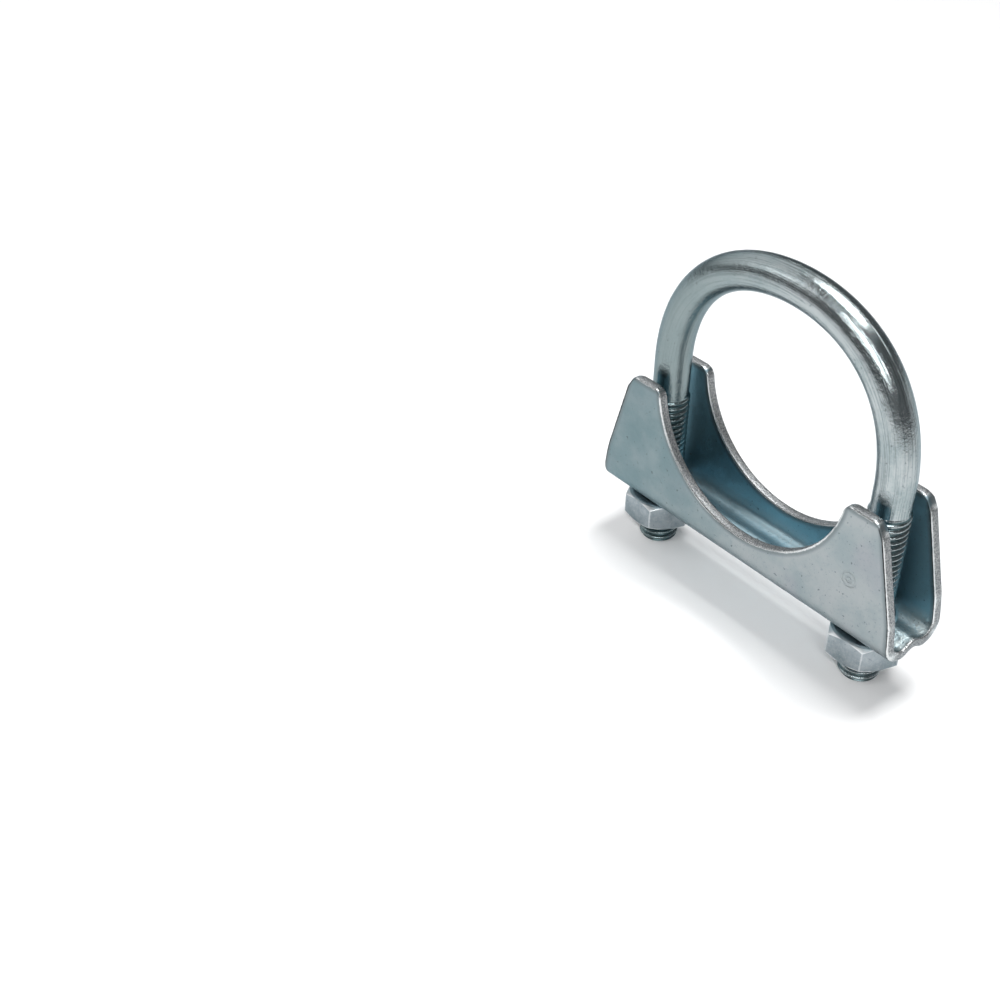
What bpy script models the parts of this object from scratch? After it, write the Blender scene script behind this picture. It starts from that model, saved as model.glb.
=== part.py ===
"""U-bolt pipe clamp: a rolled-thread U-bolt, a pressed channel saddle and two hexagon nuts.

The frame is in metres. +X runs from the left leg to the right leg, +Y along the clamped pipe and
+Z up the legs towards the bend. The origin is on the surface that the bolt ends stand on, midway
between the two legs.
"""
import math

import bmesh
import bpy
from mathutils import Vector

MM = 0.001

# The pipe that the closed clamp holds, and the running gap between touching pieces.
PIPE_DIAMETER = 45.0 * MM
PIECE_GAP = 0.3 * MM

# U-bolt: rod, bend and rolled threads.
ROD_DIAMETER = 7.2 * MM
LEG_OFFSET = 26.9 * MM
BEND_CENTRE_Z = 41.9 * MM
BEND_CROWN_EXTRA = 0.65 * MM
BEND_SHOULDER_EXTRA = 0.75 * MM
THREAD_DIAMETER = 7.85 * MM
THREAD_PITCH = 1.25 * MM
THREAD_DEPTH = 0.7 * MM
CREST_SHARE = 0.15
ROOT_SHARE = 0.575
WELD_DISTANCE = THREAD_PITCH / 1000
THREAD_END_RADIUS = 3.3 * MM
LEFT_THREAD_LENGTH = 34.5 * MM
RIGHT_THREAD_LENGTH = 37.5 * MM
ROD_IN_THREAD = 0.6 * MM

# Saddle: sheet, channel section, pressed rib, collars and flange outline.
SHEET = 2.0 * MM
SADDLE_WIDTH = 14.8 * MM
SADDLE_HALF_LENGTH = 37.0 * MM
WEB_Z = 11.4 * MM
CORNER_RADIUS = 4.2 * MM
RIB_HEIGHT = 1.0 * MM
RIB_HALF_WIDTH = 3.0 * MM
COLLAR_RADIUS = 5.0 * MM
COLLAR_HEIGHT = 1.4 * MM
COLLAR_ROUND = 0.6 * MM
COLLAR_ROOT = 0.5 * MM
HOLE_RADIUS = 4.3 * MM
FLANGE_HEIGHT = 28.05 * MM
SEAT_RADIUS = PIPE_DIAMETER / 2 + PIECE_GAP
SEAT_CENTRE_HEIGHT = BEND_CENTRE_Z - WEB_Z
KINK = (36.2 * MM, 8.5 * MM)
TIP_OUTER_X = 30.8 * MM
TIP_OUTER_RADIUS = 3.5 * MM
TIP_INNER_RADIUS = 2.3 * MM
TIP_INNER_START = 2.5 * MM

# Nuts: hexagon nuts for the thread above.
NUT_ACROSS_FLATS = 13.0 * MM
NUT_HEIGHT = 5.8 * MM
NUT_BORE_RADIUS = 4.12 * MM
NUT_BORE_MOUTH = 4.55 * MM
NUT_FACE_SHARE = 0.95
CHAMFER_SLOPE = math.tan(math.radians(30))
LEFT_NUT_TURN = math.radians(-2.5)
RIGHT_NUT_TURN = math.radians(4.1)

# Finishes: colour and roughness of the plating.
ROD_COLOUR = (0.60, 0.65, 0.67)
SHEET_COLOUR = (0.48, 0.52, 0.55)
NUT_COLOUR = (0.50, 0.54, 0.57)
ROD_ROUGHNESS = 0.22
SHEET_ROUGHNESS = 0.38
NUT_ROUGHNESS = 0.32

# Facet counts.
ROD_SIDES = 20
BEND_STEPS = 30
THREAD_STEPS = 12
ROUND_SIDES = 32
SEAT_STEPS = 36
CORNER_STEPS = 6
RIB_STEPS = 10
TIP_STEPS = 6

# How far a cutter reaches past what it cuts.
OVERSHOOT = 2.0 * MM
SMOOTH_ANGLE = math.radians(28)


def clear_scene():
    """Remove every object that the file opened with."""
    for item in list(bpy.data.objects):
        bpy.data.objects.remove(item, do_unlink=True)


def make_material(name, colour, roughness):
    """Zinc-plated steel with its own tint and gloss."""
    material = bpy.data.materials.new(name)
    material.use_nodes = True
    shader = material.node_tree.nodes["Principled BSDF"]
    shader.inputs["Base Color"].default_value = (*colour, 1.0)
    shader.inputs["Metallic"].default_value = 1.0
    shader.inputs["Roughness"].default_value = roughness
    return material


def make_object(name, bm, material=None, location=(0.0, 0.0, 0.0)):
    """Turn a bmesh into a smooth-shaded object with sharp edges kept."""
    bmesh.ops.recalc_face_normals(bm, faces=bm.faces)
    mesh = bpy.data.meshes.new(name)
    bm.to_mesh(mesh)
    bm.free()
    mesh.shade_smooth()
    mesh.set_sharp_from_angle(angle=SMOOTH_ANGLE)
    if material is not None:
        mesh.materials.append(material)
    item = bpy.data.objects.new(name, mesh)
    item.location = location
    bpy.context.scene.collection.objects.link(item)
    return item


def make_cutter(name, bm, location=(0.0, 0.0, 0.0)):
    """An object that only shapes another one."""
    cutter = make_object(name, bm, location=location)
    cutter.hide_render = True
    cutter.display_type = "WIRE"
    return cutter


def combine(target, cutter, operation):
    """Add a Boolean that joins, cuts or keeps the overlap."""
    modifier = target.modifiers.new(cutter.name, "BOOLEAN")
    modifier.operation = operation
    modifier.solver = "EXACT"
    modifier.object = cutter


def circle_point(radius, angle):
    """The two coordinates of a point on a circle."""
    return radius * math.cos(angle), radius * math.sin(angle)


def skin_rings(bm, rings):
    """Join equal rings of vertices with quads and close both ends."""
    for lower, upper in zip(rings, rings[1:]):
        count = len(lower)
        for index in range(count):
            after = (index + 1) % count
            bm.faces.new((lower[index], lower[after], upper[after], upper[index]))
    bm.faces.new(list(reversed(rings[0])))
    bm.faces.new(rings[-1])


def turned_solid(profile, sides=ROUND_SIDES):
    """A solid of revolution about Z from (radius, height) pairs, bottom to top."""
    bm = bmesh.new()
    rings = []
    for radius, height in profile:
        ring = []
        for side in range(sides):
            x, y = circle_point(radius, 2 * math.pi * side / sides)
            ring.append(bm.verts.new((x, y, height)))
        rings.append(ring)
    skin_rings(bm, rings)
    return bm


def prism(outline, axis, low, high):
    """Extrude a closed 2-D outline along X, Y or Z between two heights."""
    bm = bmesh.new()
    rings = []
    for height in (low, high):
        ring = []
        for first, second in outline:
            place = {
                "X": (height, first, second),
                "Y": (first, height, second),
                "Z": (first, second, height),
            }
            ring.append(bm.verts.new(place[axis]))
        rings.append(ring)
    skin_rings(bm, rings)
    return bm


# --- U-bolt ---------------------------------------------------------------------------------


def bend_radius(angle):
    """Centreline radius of the bend: a little fuller at the crown and at the two shoulders."""
    crown = BEND_CROWN_EXTRA * math.sin(angle) ** 2
    shoulder = BEND_SHOULDER_EXTRA * math.sin(2 * angle) ** 2
    return LEG_OFFSET + crown + shoulder


def rod_path():
    """Centreline of the plain rod, from the left thread over the bend to the right thread."""
    path = [Vector((-LEG_OFFSET, 0.0, LEFT_THREAD_LENGTH - ROD_IN_THREAD))]
    for step in range(BEND_STEPS + 1):
        angle = math.pi * (1 - step / BEND_STEPS)
        x, z = circle_point(bend_radius(angle), angle)
        path.append(Vector((x, 0.0, BEND_CENTRE_Z + z)))
    path.append(Vector((LEG_OFFSET, 0.0, RIGHT_THREAD_LENGTH - ROD_IN_THREAD)))
    return path


def rod_tangent(path, index):
    """Direction of the rod at one point; the two ends follow the straight legs."""
    if index <= 1:
        return Vector((0.0, 0.0, 1.0))
    if index >= len(path) - 2:
        return Vector((0.0, 0.0, -1.0))
    return (path[index + 1] - path[index - 1]).normalized()


def build_rod():
    """Sweep a circle along the centreline."""
    bm = bmesh.new()
    path = rod_path()
    across = Vector((0.0, 1.0, 0.0))
    rings = []
    for index, centre in enumerate(path):
        inward = rod_tangent(path, index).cross(across)
        ring = []
        for side in range(ROD_SIDES):
            u, v = circle_point(ROD_DIAMETER / 2, 2 * math.pi * side / ROD_SIDES)
            ring.append(bm.verts.new(centre + inward * u + across * v))
        rings.append(ring)
    skin_rings(bm, rings)
    return bm


def build_thread(length):
    """A right-hand thread about Z, standing on its chamfered end, as one helical strip."""
    crest = THREAD_DIAMETER / 2
    root = crest - THREAD_DEPTH
    profile = ((0.0, crest), (CREST_SHARE, crest), (ROOT_SHARE, root))
    turns = math.ceil(length / THREAD_PITCH) + 2
    bm = bmesh.new()
    columns = []
    for step in range(THREAD_STEPS + 1):
        turn = step / THREAD_STEPS
        column = []
        for row in range(turns):
            for share, radius in profile:
                height = THREAD_PITCH * (row - 1 + turn + share)
                limit = max(THREAD_END_RADIUS + height, root)
                x, y = circle_point(min(radius, limit), 2 * math.pi * turn)
                column.append(bm.verts.new((x, y, height)))
        columns.append(column)
    for left, right in zip(columns, columns[1:]):
        for index in range(len(left) - 1):
            bm.faces.new((left[index], right[index], right[index + 1], left[index + 1]))
    bmesh.ops.remove_doubles(bm, verts=bm.verts, dist=WELD_DISTANCE)
    for height, outward in ((0.0, -1.0), (length, 1.0)):
        parts = list(bm.verts) + list(bm.edges) + list(bm.faces)
        bmesh.ops.bisect_plane(
            bm, geom=parts, plane_co=(0, 0, height), plane_no=(0, 0, outward), clear_outer=True
        )
        rim = [edge for edge in bm.edges if edge.is_boundary and lies_at(edge, height)]
        bmesh.ops.edgeloop_fill(bm, edges=rim)
    return bm


def lies_at(edge, height):
    """Whether both ends of an edge are at the given height."""
    return all(abs(vertex.co.z - height) < WELD_DISTANCE for vertex in edge.verts)


def make_u_bolt(material):
    """Plain bent rod with a threaded length joined to each leg."""
    u_bolt = make_object("u_bolt", build_rod(), material)
    legs = (
        ("left_thread", -LEG_OFFSET, LEFT_THREAD_LENGTH),
        ("right_thread", LEG_OFFSET, RIGHT_THREAD_LENGTH),
    )
    for name, x, length in legs:
        thread = make_cutter(name, build_thread(length), (x, 0.0, 0.0))
        combine(u_bolt, thread, "UNION")
    return u_bolt


# --- Saddle ---------------------------------------------------------------------------------


def rib_lift(y):
    """How far the rib pushes the web inwards at a distance from the middle."""
    if abs(y) >= RIB_HALF_WIDTH:
        return 0.0
    return RIB_HEIGHT * (1 + math.cos(math.pi * y / RIB_HALF_WIDTH)) / 2


def corner_arc(centre_y, centre_z, radius, start, end):
    """Points of a web-to-flange corner in the section plane."""
    points = []
    for step in range(CORNER_STEPS + 1):
        angle = start + (end - start) * step / CORNER_STEPS
        y, z = circle_point(radius, angle)
        points.append((centre_y + y, centre_z + z))
    return points


def channel_face(inset):
    """Half of the channel's section outline: its outer face, or its inner face at one sheet inset."""
    half = SADDLE_WIDTH / 2
    centre_y = half - CORNER_RADIUS
    centre_z = WEB_Z + CORNER_RADIUS
    radius = CORNER_RADIUS - inset
    top = WEB_Z + FLANGE_HEIGHT + OVERSHOOT
    points = [(-half + inset, top)]
    points += corner_arc(-centre_y, centre_z, radius, math.pi, 1.5 * math.pi)
    for step in range(1, RIB_STEPS):
        y = RIB_HALF_WIDTH * (2 * step / RIB_STEPS - 1)
        points.append((y, WEB_Z + inset + rib_lift(y)))
    points += corner_arc(centre_y, centre_z, radius, 1.5 * math.pi, 2 * math.pi)
    points.append((half - inset, top))
    return points


def rounded_corner(before, corner, after, radius):
    """Replace a corner with an arc that touches both of its sides."""
    point = Vector(corner)
    to_before = (Vector(before) - point).normalized()
    to_after = (Vector(after) - point).normalized()
    half_angle = to_before.angle(to_after) / 2
    centre = point + (to_before + to_after).normalized() * (radius / math.sin(half_angle))
    start = point + to_before * (radius / math.tan(half_angle)) - centre
    end = point + to_after * (radius / math.tan(half_angle)) - centre
    points = []
    for step in range(TIP_STEPS + 1):
        spoke = start.slerp(end, step / TIP_STEPS) * radius
        points.append(tuple(centre + spoke))
    return points


def flange_outline():
    """Flange seen along the pipe: round seat, flat rounded tips and ends that taper above a kink."""
    top = WEB_Z + FLANGE_HEIGHT
    centre_z = WEB_Z + SEAT_CENTRE_HEIGHT
    seat_top = top - TIP_INNER_START
    first = math.asin((seat_top - centre_z) / SEAT_RADIUS)
    right = []
    for step in range(SEAT_STEPS // 2 + 1):
        angle = -math.pi / 2 + (first + math.pi / 2) * step / (SEAT_STEPS // 2)
        x, z = circle_point(SEAT_RADIUS, angle)
        right.append((x, centre_z + z))
    seat_end = right[-1]
    tip_inner = (math.sqrt(SEAT_RADIUS**2 - (top - centre_z) ** 2), top)
    tip_outer = (TIP_OUTER_X, top)
    kink = (KINK[0], WEB_Z + KINK[1])
    right += rounded_corner(seat_end, tip_inner, tip_outer, TIP_INNER_RADIUS)
    right += rounded_corner(tip_inner, tip_outer, kink, TIP_OUTER_RADIUS)
    right += [kink, (SADDLE_HALF_LENGTH, WEB_Z + SHEET), (SADDLE_HALF_LENGTH, WEB_Z - OVERSHOOT)]
    left = [(-x, z) for x, z in reversed(right[1:])]
    return right + left


def collar_profile():
    """The lip that piercing pushes up round a bolt hole, rounded at its top."""
    base = WEB_Z + SHEET - COLLAR_ROOT
    top = WEB_Z + SHEET + COLLAR_HEIGHT
    profile = [(COLLAR_RADIUS, base)]
    for step in range(TIP_STEPS + 1):
        r, z = circle_point(COLLAR_ROUND, math.pi / 2 * step / TIP_STEPS)
        profile.append((COLLAR_RADIUS - COLLAR_ROUND + r, top - COLLAR_ROUND + z))
    return profile


def make_saddle(material):
    """Channel cut to the flange outline, with a collared clearance hole for each leg."""
    reach = SADDLE_HALF_LENGTH + OVERSHOOT
    section = channel_face(0.0) + list(reversed(channel_face(SHEET)))
    saddle = make_object("saddle", prism(section, "X", -reach, reach), material)
    outline = make_cutter("flange_blank", prism(flange_outline(), "Y", -SADDLE_WIDTH, SADDLE_WIDTH))
    combine(saddle, outline, "INTERSECT")
    hole_top = WEB_Z + SHEET + COLLAR_HEIGHT + OVERSHOOT
    hole_profile = ((HOLE_RADIUS, WEB_Z - OVERSHOOT), (HOLE_RADIUS, hole_top))
    for name, x in (("left", -LEG_OFFSET), ("right", LEG_OFFSET)):
        place = (x, 0.0, 0.0)
        collar = make_cutter(name + "_collar", turned_solid(collar_profile()), place)
        combine(saddle, collar, "UNION")
        hole = make_cutter(name + "_hole", turned_solid(hole_profile), place)
        combine(saddle, hole, "DIFFERENCE")
    return saddle


# --- Nuts -----------------------------------------------------------------------------------


def nut_blank(turn):
    """Hexagonal bar, with a corner turned by the given angle from +X."""
    corner_radius = NUT_ACROSS_FLATS / 2 / math.cos(math.pi / 6)
    outline = [circle_point(corner_radius, turn + math.pi / 3 * corner) for corner in range(6)]
    return prism(outline, "Z", -NUT_HEIGHT, 0.0)


def nut_chamfers():
    """The turned shape that takes the corners off both faces of the bar."""
    face = NUT_ACROSS_FLATS / 2 * NUT_FACE_SHARE
    widest = NUT_ACROSS_FLATS / 2 + OVERSHOOT
    drop = (widest - face) * CHAMFER_SLOPE
    profile = ((face, -NUT_HEIGHT), (widest, drop - NUT_HEIGHT), (widest, -drop), (face, 0.0))
    return turned_solid(profile)


def nut_bore():
    """Clearance bore with a countersunk mouth on each side."""
    mouth = NUT_BORE_MOUTH - NUT_BORE_RADIUS
    profile = (
        (NUT_BORE_MOUTH + OVERSHOOT, -NUT_HEIGHT - OVERSHOOT),
        (NUT_BORE_RADIUS, mouth - NUT_HEIGHT),
        (NUT_BORE_RADIUS, -mouth),
        (NUT_BORE_MOUTH + OVERSHOOT, OVERSHOOT),
    )
    return turned_solid(profile)


def make_nut(name, x, turn, material):
    """Chamfered hexagon nut just under the web, its origin on the leg's axis."""
    place = (x, 0.0, WEB_Z - PIECE_GAP)
    nut = make_object(name, nut_blank(turn), material, place)
    chamfers = make_cutter(name + "_chamfers", nut_chamfers(), place)
    combine(nut, chamfers, "INTERSECT")
    bore = make_cutter(name + "_bore", nut_bore(), place)
    combine(nut, bore, "DIFFERENCE")
    return nut


def main():
    clear_scene()
    make_u_bolt(make_material("bright_zinc_rod", ROD_COLOUR, ROD_ROUGHNESS))
    make_saddle(make_material("satin_zinc_sheet", SHEET_COLOUR, SHEET_ROUGHNESS))
    left_zinc = make_material("zinc_nut_left", NUT_COLOUR, NUT_ROUGHNESS)
    right_zinc = make_material("zinc_nut_right", NUT_COLOUR, NUT_ROUGHNESS)
    make_nut("nut_left", -LEG_OFFSET, LEFT_NUT_TURN, left_zinc)
    make_nut("nut_right", LEG_OFFSET, RIGHT_NUT_TURN, right_zinc)


main()
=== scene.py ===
# %% [markdown]
# # A zinc-plated U-bolt clamp
# This lesson dresses a small pipe clamp: a bent rod with two rolled threads, a pressed channel saddle
# and two hexagon nuts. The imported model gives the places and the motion, and each cell below makes
# one piece or one finish at close-up quality.

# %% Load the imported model
import math

import bmesh
import bpy
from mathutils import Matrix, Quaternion, Vector


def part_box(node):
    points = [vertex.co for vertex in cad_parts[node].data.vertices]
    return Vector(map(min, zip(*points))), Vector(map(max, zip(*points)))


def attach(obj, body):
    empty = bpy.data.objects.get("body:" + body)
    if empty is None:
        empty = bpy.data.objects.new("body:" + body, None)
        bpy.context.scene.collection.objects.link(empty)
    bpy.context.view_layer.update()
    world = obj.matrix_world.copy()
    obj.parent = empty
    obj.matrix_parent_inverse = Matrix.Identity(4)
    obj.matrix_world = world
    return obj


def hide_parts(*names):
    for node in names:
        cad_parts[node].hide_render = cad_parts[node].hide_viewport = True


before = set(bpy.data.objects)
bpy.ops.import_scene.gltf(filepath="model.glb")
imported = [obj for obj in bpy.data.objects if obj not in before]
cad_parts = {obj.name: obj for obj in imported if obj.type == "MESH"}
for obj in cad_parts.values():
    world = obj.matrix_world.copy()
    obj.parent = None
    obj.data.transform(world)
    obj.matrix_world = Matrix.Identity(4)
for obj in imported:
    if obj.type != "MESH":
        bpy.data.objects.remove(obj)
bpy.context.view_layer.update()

# %% [markdown]
# ## Sizes
# The clamp is drawn from a few workshop sizes in millimetres: the rod, the thread, the sheet and the
# pipe. Everything else is worked out from them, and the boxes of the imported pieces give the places,
# so the fine pieces land on the solids that they stand for.

# %% Driving sizes
MM = 0.001
ROD_RADIUS = 3.6 * MM
CREST_RADIUS = 3.925 * MM
THREAD_DEPTH = 0.66 * MM
PITCH = 1.25 * MM
END_RADIUS = 3.3 * MM
LEG_X = 26.9 * MM
BEND_Z = 41.9 * MM
CROWN_EXTRA = 0.65 * MM
SHOULDER_EXTRA = 0.75 * MM
LEFT_THREAD = 34.5 * MM
RIGHT_THREAD = 37.5 * MM
SHEET = 2.0 * MM
CORNER_RADIUS = 4.2 * MM
SEAT_RADIUS = 22.8 * MM
RIB_HEIGHT = 1.0 * MM
RIB_HALF_WIDTH = 3.0 * MM
HOLE_RADIUS = 4.3 * MM
COLLAR_RADIUS = 5.0 * MM
COLLAR_HEIGHT = 1.4 * MM
ACROSS_FLATS = 13.0 * MM

saddle_low, saddle_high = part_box("saddle")
WEB_Z = saddle_low.z
TIP_Z = saddle_high.z
HALF_LENGTH = saddle_high.x
HALF_WIDTH = saddle_high.y
print("saddle length:", round(HALF_LENGTH * 2 / MM, 1), "mm")
print("saddle width:", round(HALF_WIDTH * 2 / MM, 1), "mm")

# %% [markdown]
# ## A socket that does arithmetic
# Node trees are easier to read as formulas. This small class wraps a socket, and each Python
# operator on it adds the matching Math node, so `1 - mask` works as it does on paper. One method,
# `node`, makes every other kind of node from its type, its settings and what feeds its sockets.

# %% Formula nodes
class Wire:
    """An output socket that can be added, subtracted, multiplied, divided and raised to a power."""

    def __init__(self, graph, socket):
        self.graph = graph
        self.socket = socket

    def __add__(self, other):
        return self.graph.math("ADD", self, other)

    def __radd__(self, other):
        return self.graph.math("ADD", other, self)

    def __sub__(self, other):
        return self.graph.math("SUBTRACT", self, other)

    def __rsub__(self, other):
        return self.graph.math("SUBTRACT", other, self)

    def __mul__(self, other):
        return self.graph.math("MULTIPLY", self, other)

    def __rmul__(self, other):
        return self.graph.math("MULTIPLY", other, self)

    def __truediv__(self, other):
        return self.graph.math("DIVIDE", self, other)

    def __pow__(self, other):
        return self.graph.math("POWER", self, other)

    def __abs__(self):
        return self.graph.math("ABSOLUTE", self)


class Graph:
    """A shader tree or a geometry tree that formulas are written into."""

    def __init__(self, tree):
        self.tree = tree

    def feed(self, socket, value):
        """Link a wire to a socket, or set the socket's own value."""
        if isinstance(value, Wire):
            self.tree.links.new(value.socket, socket)
        else:
            socket.default_value = value

    def node(self, kind, settings=None, inputs=None, out=0):
        """Add any node: its settings first, then what feeds its sockets."""
        made = self.tree.nodes.new(kind)
        for name, value in (settings or {}).items():
            setattr(made, name, value)
        for name, value in (inputs or {}).items():
            self.feed(made.inputs[name], value)
        return Wire(self, made.outputs[out])

    def math(self, operation, *values):
        return self.node("ShaderNodeMath", {"operation": operation}, dict(enumerate(values)))

    def vector(self, operation, *values, out=0):
        inputs = dict(enumerate(values))
        return self.node("ShaderNodeVectorMath", {"operation": operation}, inputs, out)

    def split(self, vector):
        """The X, Y and Z of a vector."""
        x = self.node("ShaderNodeSeparateXYZ", inputs={0: vector})
        return x, Wire(self, x.socket.node.outputs[1]), Wire(self, x.socket.node.outputs[2])

    def ramp(self, value, low, high, to_low=0.0, to_high=1.0, shape="SMOOTHSTEP"):
        """Carry a value from one range to another, with soft ends."""
        ends = {"Value": value, "From Min": low, "From Max": high, "To Min": to_low, "To Max": to_high}
        return self.node("ShaderNodeMapRange", {"interpolation_type": shape, "clamp": True}, ends)

    def blend(self, share, first, second):
        """Mix two colours: none of the second at 0, all of it at 1."""
        return self.node("ShaderNodeMix", {"data_type": "RGBA"}, {0: share, 6: first, 7: second}, 2)


# %% [markdown]
# ## Geometry Nodes helpers
# A modifier's inputs have identifiers such as `Socket_3`, which differ from their names, so they are
# looked up before they are set. The result is then taken off the modifier as a plain mesh.

# %% Tree inputs and plain meshes
def new_tree(name, floats):
    """A geometry tree with a geometry socket each way and one named length for each entry."""
    tree = bpy.data.node_groups.new(name, "GeometryNodeTree")
    tree.interface.new_socket("Geometry", in_out="INPUT", socket_type="NodeSocketGeometry")
    tree.interface.new_socket("Geometry", in_out="OUTPUT", socket_type="NodeSocketGeometry")
    for label in floats:
        tree.interface.new_socket(label, in_out="INPUT", socket_type="NodeSocketFloat")
    tree.interface.new_socket("Material", in_out="INPUT", socket_type="NodeSocketMaterial")
    graph = Graph(tree)
    entry = tree.nodes.new("NodeGroupInput")
    return graph, {socket.name: Wire(graph, socket) for socket in entry.outputs if socket.name}


def close_tree(graph, geometry, material):
    """Finish a tree: realise what it copied, give it its material and hand it out."""
    real = graph.node("GeometryNodeRealizeInstances", inputs={"Geometry": geometry})
    dressed = graph.node("GeometryNodeSetMaterial", inputs={"Geometry": real, "Material": material})
    leave = graph.tree.nodes.new("NodeGroupOutput")
    graph.feed(leave.inputs[0], dressed)


def run_tree(item, tree, values, name):
    """Evaluate a tree on an object and return its result as a plain mesh object."""
    modifier = item.modifiers.new(tree.name, "NODES")
    modifier.node_group = tree
    for socket in tree.interface.items_tree:
        if socket.item_type == "SOCKET" and socket.name in values:
            modifier[socket.identifier] = values[socket.name]
    return bake(item, name)


def bake(item, name):
    """Replace an object and its modifiers by the mesh that they make."""
    graph = bpy.context.evaluated_depsgraph_get()
    mesh = bpy.data.meshes.new_from_object(item.evaluated_get(graph))
    bpy.data.objects.remove(item, do_unlink=True)
    mesh.name = name
    result = bpy.data.objects.new(name, mesh)
    bpy.context.scene.collection.objects.link(result)
    return result


def add_mesh_object(name, bm, material=None):
    """A bmesh as an object at the origin."""
    bmesh.ops.recalc_face_normals(bm, faces=bm.faces)
    mesh = bpy.data.meshes.new(name)
    bm.to_mesh(mesh)
    bm.free()
    if material:
        mesh.materials.append(material)
    item = bpy.data.objects.new(name, mesh)
    bpy.context.scene.collection.objects.link(item)
    return item


def open_edges(item):
    """How many edges of a mesh are not shared by exactly two faces: 0 for a closed skin."""
    bm = bmesh.new()
    bm.from_mesh(item.data)
    count = sum(not edge.is_manifold for edge in bm.edges)
    bm.free()
    return count


# %% [markdown]
# ## A recipe for zinc
# Bright zinc with a blue passivate is a thin, slightly cloudy film on steel. All the finishes share
# one recipe: a metal whose tint and gloss drift in soft clouds, with fine grain and specks. The
# sheet and the nuts also get painted highlights along their edges. Each piece then sets its own
# amounts. The edge tint of the metal is turned down, because a passivated film goes dark, not
# white, where it is seen at a low angle.

# %% Finish recipe
EDGE_TINT = (0.50, 0.57, 0.61, 1)


def metal(name):
    """An empty metallic material and its formula graph."""
    material = bpy.data.materials.new(name)
    material.use_nodes = True
    graph = Graph(material.node_tree)
    shader = material.node_tree.nodes["Principled BSDF"]
    shader.inputs["Metallic"].default_value = 1.0
    shader.inputs["Specular Tint"].default_value = EDGE_TINT
    return material, graph, shader


def noise(graph, place, scale, detail=3.0, roughness=0.55):
    """Soft cloud pattern, 0 to 1."""
    inputs = {"Vector": place, "Scale": scale, "Detail": detail, "Roughness": roughness}
    return graph.node("ShaderNodeTexNoise", inputs=inputs)


def bump(graph, height, distance, strength=1.0):
    """Relief for the Normal socket: height 0 to 1 over a distance in metres."""
    inputs = {"Height": height, "Distance": distance, "Strength": strength}
    return graph.node("ShaderNodeBump", inputs=inputs)


def object_place(graph):
    """Object coordinates, which are metres in the shared frame."""
    return graph.node("ShaderNodeTexCoord", out=3)


# %% [markdown]
# ## Finish of the rod
# Drawn wire has faint marks along its length, and the bending and plating leave small shallow dents
# that break up each reflection into sparkle. The sweep stores how far along the rod and how far
# round it a point is, so the marks follow the bend. The thread's grooves are painted darker as
# painted shade, and the rod is painted darker towards the left leg as painted shade for the
# shadowed floor that leg reflects.

# %% Rod finish
ROD_PALE = (0.43, 0.47, 0.48, 1)
ROD_DEEP = (0.29, 0.35, 0.36, 1)
ROD_DRAWN_MARK = (0.18, 0.22, 0.23, 1)
ROD_GRAIN = (0.52, 0.54, 0.55, 1)
# Painted shade: the left leg is painted darker, for the shadowed floor that it reflects.
ROD_LEFT_SHADE = (0.185, 0.235, 0.240, 1)
# Painted shade in the thread's roots.
ROD_GROOVE_SHADE = (0.06, 0.11, 0.12, 1)
ROD_SPECK = (0.10, 0.12, 0.13, 1)
ROD_RELIEF = 0.05 * MM
MARKS_ROUND = 8.0
MARKS_ALONG = 45.0


def rod_finish():
    """Glossy plated wire: drawing marks along it, small dents, and painted shade in the thread grooves
    and towards the left leg.
    """
    material, graph, shader = metal("bright_zinc_rod")
    place = object_place(graph)
    along = graph.node("ShaderNodeAttribute", {"attribute_name": "along"}, out=2)
    around = graph.node("ShaderNodeAttribute", {"attribute_name": "around"}, out=2)
    groove = graph.node("ShaderNodeAttribute", {"attribute_name": "groove"}, out=2)
    turn = around * (2 * math.pi)
    lengthways = graph.node(
        "ShaderNodeCombineXYZ",
        inputs={
            0: graph.math("COSINE", turn) * MARKS_ROUND,
            1: graph.math("SINE", turn) * MARKS_ROUND,
            2: along * MARKS_ALONG,
        },
    )
    cloud = noise(graph, place, 140.0, 4.0, 0.6)
    dents = noise(graph, place, 420.0, 4.0, 0.65)
    grain = noise(graph, place, 2400.0, 3.0, 0.7)
    drawn = noise(graph, lengthways, 1.8, 5.0, 0.65)
    speck = graph.ramp(noise(graph, place, 1300.0, 2.0), 0.66, 0.74)
    tint = graph.blend(graph.ramp(cloud, 0.35, 0.68), ROD_PALE, ROD_DEEP)
    tint = graph.blend(graph.ramp(drawn, 0.50, 0.58, 0.0, 0.65), tint, ROD_DRAWN_MARK)
    tint = graph.blend(graph.ramp(grain, 0.45, 0.75, 0.0, 0.4), tint, ROD_GRAIN)
    x, _, _ = graph.split(place)
    # Painted shade: darker from the middle of the bend to the left leg, for the shadowed floor it
    # reflects.
    darker_left = graph.ramp(x + (cloud - 0.5) * 0.02, -0.027, 0.012, 0.8, 0.0)
    tint = graph.blend(darker_left, tint, ROD_LEFT_SHADE)
    # Painted shade: the thread grooves are painted darker.
    tint = graph.blend(groove * 0.9, tint, ROD_GROOVE_SHADE)
    tint = graph.blend(speck * 0.7, tint, ROD_SPECK)
    graph.feed(shader.inputs["Base Color"], tint)
    rough = 0.05 + cloud * 0.10 + drawn * 0.06 + grain * 0.08 + groove * 0.15
    graph.feed(shader.inputs["Roughness"], rough)
    relief = dents * 2.4 + drawn * 0.9 + grain * 0.8 + cloud * 1.6
    graph.feed(shader.inputs["Normal"], bump(graph, relief, ROD_RELIEF))
    return material


ROD_FINISH = rod_finish()
print("nodes in the rod's finish:", len(ROD_FINISH.node_tree.nodes))

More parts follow.
